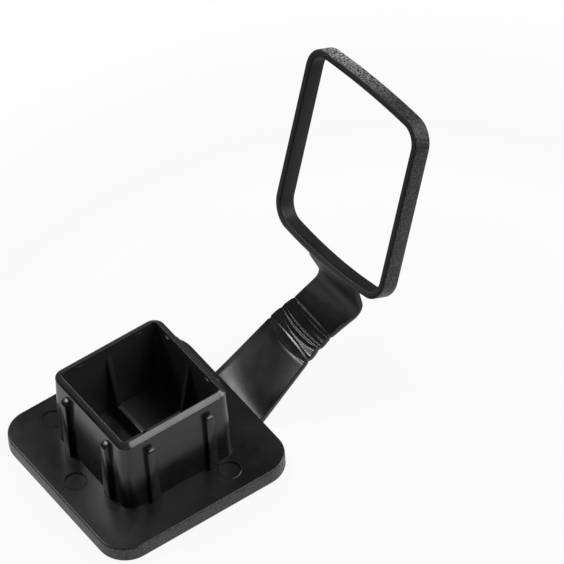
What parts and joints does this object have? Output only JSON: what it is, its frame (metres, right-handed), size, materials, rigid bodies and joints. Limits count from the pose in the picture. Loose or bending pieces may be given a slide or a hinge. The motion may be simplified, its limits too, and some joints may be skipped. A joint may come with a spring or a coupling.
{
  "type": "hitch receiver cover",
  "caption": "Black rubber cover for a square hitch receiver: a plate with a hollow ribbed plug, and a strap with a square loop that keeps it on the tube.",
  "frame": {"origin": "centre of the plate's outer face, which the part stands on", "axes": "+Z out along the plug, +Y across the plate towards the strap and the loop"},
  "size_m": [0.0801, 0.1524, 0.1157],
  "materials": {
    "rubber": "satin moulded black rubber"
  },
  "bodies": {
    "root": {"receiver_cover": "rubber"}
  },
  "joints": []
}
